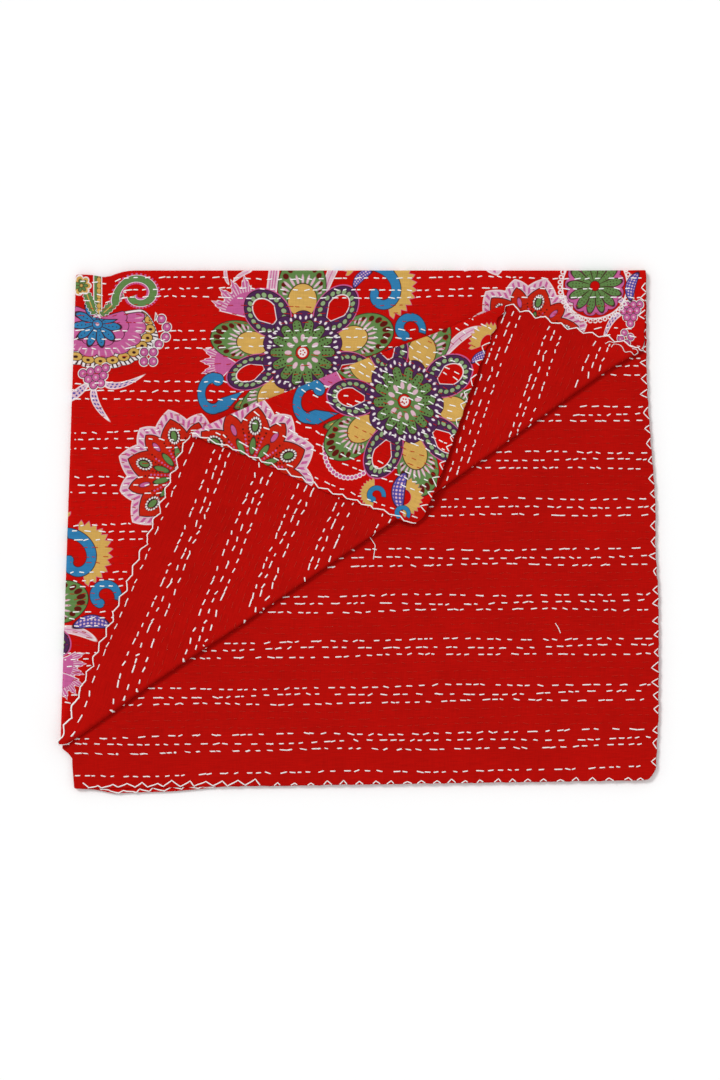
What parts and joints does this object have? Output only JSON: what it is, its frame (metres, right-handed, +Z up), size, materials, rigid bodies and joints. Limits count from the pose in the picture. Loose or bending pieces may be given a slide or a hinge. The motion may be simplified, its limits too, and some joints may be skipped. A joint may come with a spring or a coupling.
{
  "type": "folded kantha bedspread",
  "caption": "Light cotton quilt with a floral printed face and a plain back, joined by rows of running stitch, folded flat with a corner turned back to show both sides.",
  "frame": {"origin": "centre of the folded pack's outline, on the surface it lies on", "axes": "+Z up from the surface; +X along the stitched rows of the uncovered quarters, away from the left fold; +Y towards the top fold"},
  "size_m": [0.7759, 0.6737, 0.0198],
  "materials": {
    "printed_cotton": "matt cotton, red ground with a many-coloured floral print",
    "plain_cotton": "matt plain red cotton"
  },
  "bodies": {
    "root": {"printed_face": "printed_cotton", "plain_back": "plain_cotton"}
  },
  "joints": []
}
